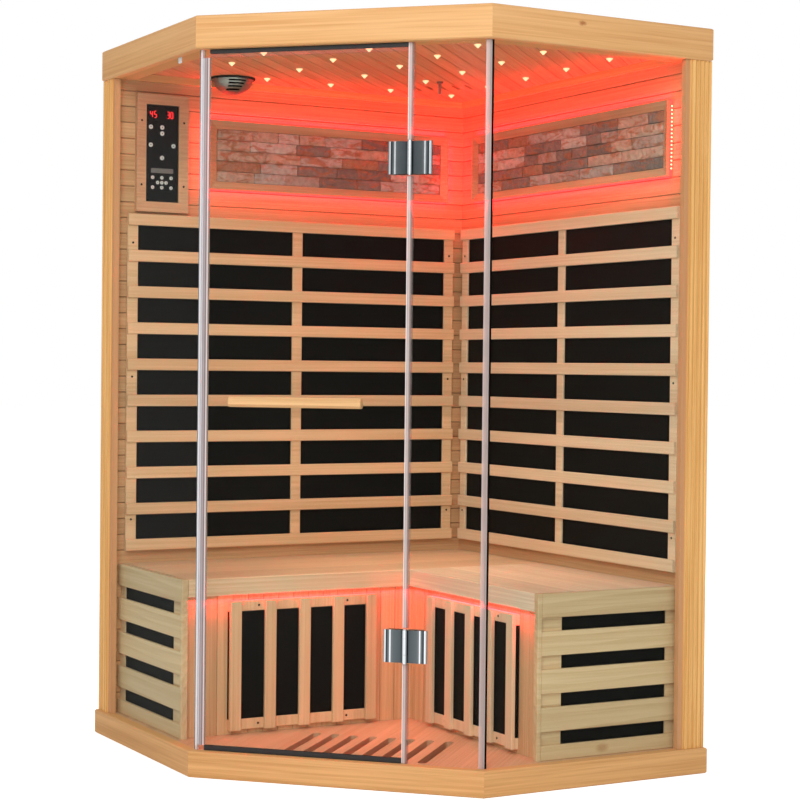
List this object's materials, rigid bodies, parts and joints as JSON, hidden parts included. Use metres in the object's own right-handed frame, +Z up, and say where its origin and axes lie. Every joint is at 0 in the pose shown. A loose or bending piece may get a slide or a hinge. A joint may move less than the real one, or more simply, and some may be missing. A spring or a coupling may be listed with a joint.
{
  "type": "corner infrared sauna cabin",
  "caption": "Five-sided corner sauna cabin with a hinged glass door, glass sides, corner benches, heater panels behind wooden guards, stone bands and a push-key control panel.",
  "frame": {"origin": "under the plinth, at the centre of its bounding square", "axes": "+Z up; the back wall is on the +Y side, the right wall on the +X side, and the cut corner with the door faces -X -Y"},
  "size_m": [1.206, 1.206, 1.9],
  "materials": {
    "honey_hemlock": "satin",
    "pale_hemlock": "satin",
    "inner_hemlock": "satin",
    "bench_hemlock": "satin",
    "floor_hemlock": "satin",
    "tempered_glass": "polished",
    "clear_seal": "gloss",
    "black_rubber": "matte",
    "heater_panel": "matte",
    "polished_chrome": "polished",
    "split_stone": "rough",
    "panel_plastic": "gloss",
    "unit_casing": "matte",
    "speaker_shell": "satin",
    "key_plastic": "satin"
  },
  "bodies": {
    "cabin": {"base_tray": "honey_hemlock", "floor_panel": "floor_hemlock", "back_wall": "inner_hemlock", "right_wall": "inner_hemlock", "left_post": "honey_hemlock", "right_post": "honey_hemlock", "roof_fascia": "pale_hemlock", "ceiling_panel": "inner_hemlock", "roof_cover": "honey_hemlock", "power_unit": "unit_casing", "speaker": "speaker_shell", "left_glass": "tempered_glass", "right_glass": "tempered_glass", "front_glass": "tempered_glass", "corner_seal": "clear_seal", "upper_hinge_fixed_leaf": "polished_chrome", "upper_hinge_pin": "polished_chrome", "lower_hinge_fixed_leaf": "polished_chrome", "lower_hinge_pin": "polished_chrome", "back_heater": "heater_panel", "right_heater": "heater_panel", "back_heater_guard": "inner_hemlock", "right_heater_guard": "inner_hemlock", "back_stone": "split_stone", "right_stone": "split_stone", "back_stone_frame": "inner_hemlock", "right_stone_frame": "inner_hemlock", "back_seat": "bench_hemlock", "right_seat": "bench_hemlock", "back_bench_front": "inner_hemlock", "right_bench_front": "inner_hemlock", "left_bench_end": "bench_hemlock", "right_bench_end": "bench_hemlock", "back_calf_heater": "heater_panel", "right_calf_heater": "heater_panel", "back_calf_guard": "bench_hemlock", "right_calf_guard": "bench_hemlock", "control_frame": "inner_hemlock", "control_plate": "panel_plastic"},
    "door": {"door_glass": "tempered_glass", "door_edge_seal": "clear_seal", "door_bottom_seal": "black_rubber", "door_handle": "pale_hemlock", "upper_hinge_door_leaf": "polished_chrome", "lower_hinge_door_leaf": "polished_chrome"},
    "control_key_1_body": {"control_key_1": "key_plastic"},
    "control_key_2_body": {"control_key_2": "key_plastic"},
    "control_key_3_body": {"control_key_3": "key_plastic"},
    "control_key_4_body": {"control_key_4": "key_plastic"},
    "control_key_5_body": {"control_key_5": "key_plastic"},
    "control_key_6_body": {"control_key_6": "key_plastic"},
    "audio_key_1_body": {"audio_key_1": "key_plastic"},
    "audio_key_2_body": {"audio_key_2": "key_plastic"},
    "audio_key_3_body": {"audio_key_3": "key_plastic"},
    "audio_key_4_body": {"audio_key_4": "key_plastic"},
    "audio_key_5_body": {"audio_key_5": "key_plastic"},
    "audio_key_6_body": {"audio_key_6": "key_plastic"},
    "audio_key_7_body": {"audio_key_7": "key_plastic"},
    "audio_key_8_body": {"audio_key_8": "key_plastic"},
    "audio_key_9_body": {"audio_key_9": "key_plastic"}
  },
  "joints": [
    {"name": "door_swing", "type": "hinge", "parent": "cabin", "child": "door", "pos_m": [-0.19661, -0.44127, 0.945], "axis": [0, 0, 1], "range_deg": [0, 110]},
    {"name": "control_key_1_press", "type": "slide", "parent": "cabin", "child": "control_key_1_body", "axis": [0, 1, 0], "range_m": [0, 0.001], "stiffness_N_per_m": 400},
    {"name": "control_key_2_press", "type": "slide", "parent": "cabin", "child": "control_key_2_body", "axis": [0, 1, 0], "range_m": [0, 0.001], "stiffness_N_per_m": 400},
    {"name": "control_key_3_press", "type": "slide", "parent": "cabin", "child": "control_key_3_body", "axis": [0, 1, 0], "range_m": [0, 0.001], "stiffness_N_per_m": 400},
    {"name": "control_key_4_press", "type": "slide", "parent": "cabin", "child": "control_key_4_body", "axis": [0, 1, 0], "range_m": [0, 0.001], "stiffness_N_per_m": 400},
    {"name": "control_key_5_press", "type": "slide", "parent": "cabin", "child": "control_key_5_body", "axis": [0, 1, 0], "range_m": [0, 0.001], "stiffness_N_per_m": 400},
    {"name": "control_key_6_press", "type": "slide", "parent": "cabin", "child": "control_key_6_body", "axis": [0, 1, 0], "range_m": [0, 0.001], "stiffness_N_per_m": 400},
    {"name": "audio_key_1_press", "type": "slide", "parent": "cabin", "child": "audio_key_1_body", "axis": [0, 1, 0], "range_m": [0, 0.001], "stiffness_N_per_m": 400},
    {"name": "audio_key_2_press", "type": "slide", "parent": "cabin", "child": "audio_key_2_body", "axis": [0, 1, 0], "range_m": [0, 0.001], "stiffness_N_per_m": 400},
    {"name": "audio_key_3_press", "type": "slide", "parent": "cabin", "child": "audio_key_3_body", "axis": [0, 1, 0], "range_m": [0, 0.001], "stiffness_N_per_m": 400},
    {"name": "audio_key_4_press", "type": "slide", "parent": "cabin", "child": "audio_key_4_body", "axis": [0, 1, 0], "range_m": [0, 0.001], "stiffness_N_per_m": 400},
    {"name": "audio_key_5_press", "type": "slide", "parent": "cabin", "child": "audio_key_5_body", "axis": [0, 1, 0], "range_m": [0, 0.001], "stiffness_N_per_m": 400},
    {"name": "audio_key_6_press", "type": "slide", "parent": "cabin", "child": "audio_key_6_body", "axis": [0, 1, 0], "range_m": [0, 0.001], "stiffness_N_per_m": 400},
    {"name": "audio_key_7_press", "type": "slide", "parent": "cabin", "child": "audio_key_7_body", "axis": [0, 1, 0], "range_m": [0, 0.001], "stiffness_N_per_m": 400},
    {"name": "audio_key_8_press", "type": "slide", "parent": "cabin", "child": "audio_key_8_body", "axis": [0, 1, 0], "range_m": [0, 0.001], "stiffness_N_per_m": 400},
    {"name": "audio_key_9_press", "type": "slide", "parent": "cabin", "child": "audio_key_9_body", "axis": [0, 1, 0], "range_m": [0, 0.001], "stiffness_N_per_m": 400}
  ]
}
